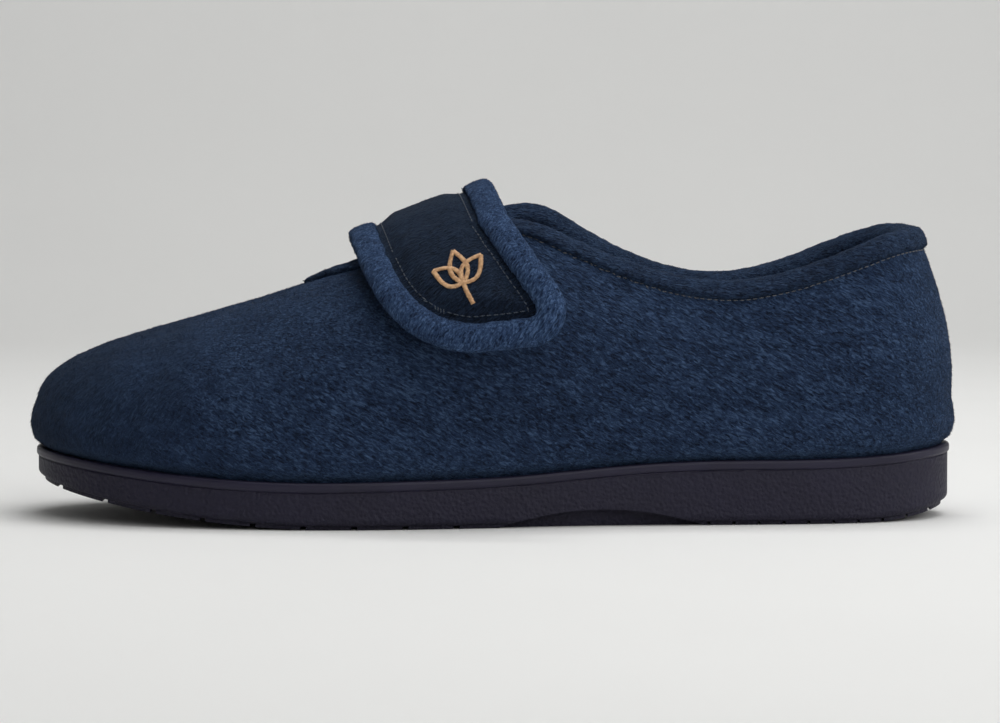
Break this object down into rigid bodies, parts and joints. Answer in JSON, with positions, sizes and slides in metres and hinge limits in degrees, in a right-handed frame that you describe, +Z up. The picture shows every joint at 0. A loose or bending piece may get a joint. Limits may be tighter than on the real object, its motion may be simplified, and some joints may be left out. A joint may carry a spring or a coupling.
{
  "type": "closed-back house slipper",
  "caption": "Closed-back fleece house slipper for the left foot with a bound low-cut opening, a padded hook-and-loop instep strap that peels and swings open, and a moulded cup sole.",
  "frame": {"origin": "bottom centre of the whole slipper's box, with the tread on the ground", "axes": "+X to the heel, +Y to the inner side of the foot, +Z up from the ground"},
  "size_m": [0.2704, 0.1124, 0.0987],
  "materials": {
    "sole_rubber": "moulded soft rubber, aubergine navy, fine pebbled wall",
    "fibreboard": "pressed fibre insole board",
    "foam": "soft open-cell foam",
    "lining_cloth": "brushed knit lining, dark navy",
    "interlining": "non-woven interlining",
    "stiffener": "thermoplastic stiffener sheet",
    "fleece": "short-pile brushed fleece, navy",
    "binding_cloth": "brushed stretch binding strip, navy",
    "thread": "spun sewing thread, grey blue",
    "hook_and_loop": "woven hook and loop tape, dark navy",
    "embroidery": "satin-stitch embroidery, tan"
  },
  "bodies": {
    "slipper": {"footbed_cover": "lining_cloth", "footbed_foam": "foam", "heel_counter": "stiffener", "insole_board": "fibreboard", "loop_patch": "hook_and_loop", "loop_patch_stitching": "thread", "outsole": "sole_rubber", "strap_anchor_backing": "lining_cloth", "strap_anchor_binding": "binding_cloth", "strap_anchor_face": "fleece", "strap_anchor_foam": "foam", "strap_anchor_stitching": "thread", "toe_puff": "stiffener", "topline_binding": "binding_cloth", "topline_stitching": "thread", "upper_interlining": "interlining", "upper_lining": "lining_cloth", "upper_shell": "fleece"},
    "strap_bridge": {"strap_bridge_back_binding": "binding_cloth", "strap_bridge_back_stitching": "thread", "strap_bridge_backing": "lining_cloth", "strap_bridge_face": "fleece", "strap_bridge_foam": "foam", "strap_bridge_front_binding": "binding_cloth", "strap_bridge_front_stitching": "thread"},
    "strap_tip": {"strap_tip_backing": "lining_cloth", "strap_tip_binding": "binding_cloth", "strap_tip_face": "fleece", "strap_tip_foam": "foam", "strap_tip_stitching": "thread", "hook_tape": "hook_and_loop", "strap_emblem": "embroidery"}
  },
  "joints": [
    {"name": "strap_swing", "type": "hinge", "parent": "slipper", "child": "strap_bridge", "pos_m": [-0.01727, 0.04092, 0.0819], "axis": [-0.9336, 0, -0.3584], "range_deg": [0, 120]},
    {"name": "strap_peel", "type": "hinge", "parent": "strap_bridge", "child": "strap_tip", "pos_m": [-0.01756, -0.03319, 0.08264], "axis": [-0.9336, 0, -0.3584], "range_deg": [0, 75]}
  ]
}
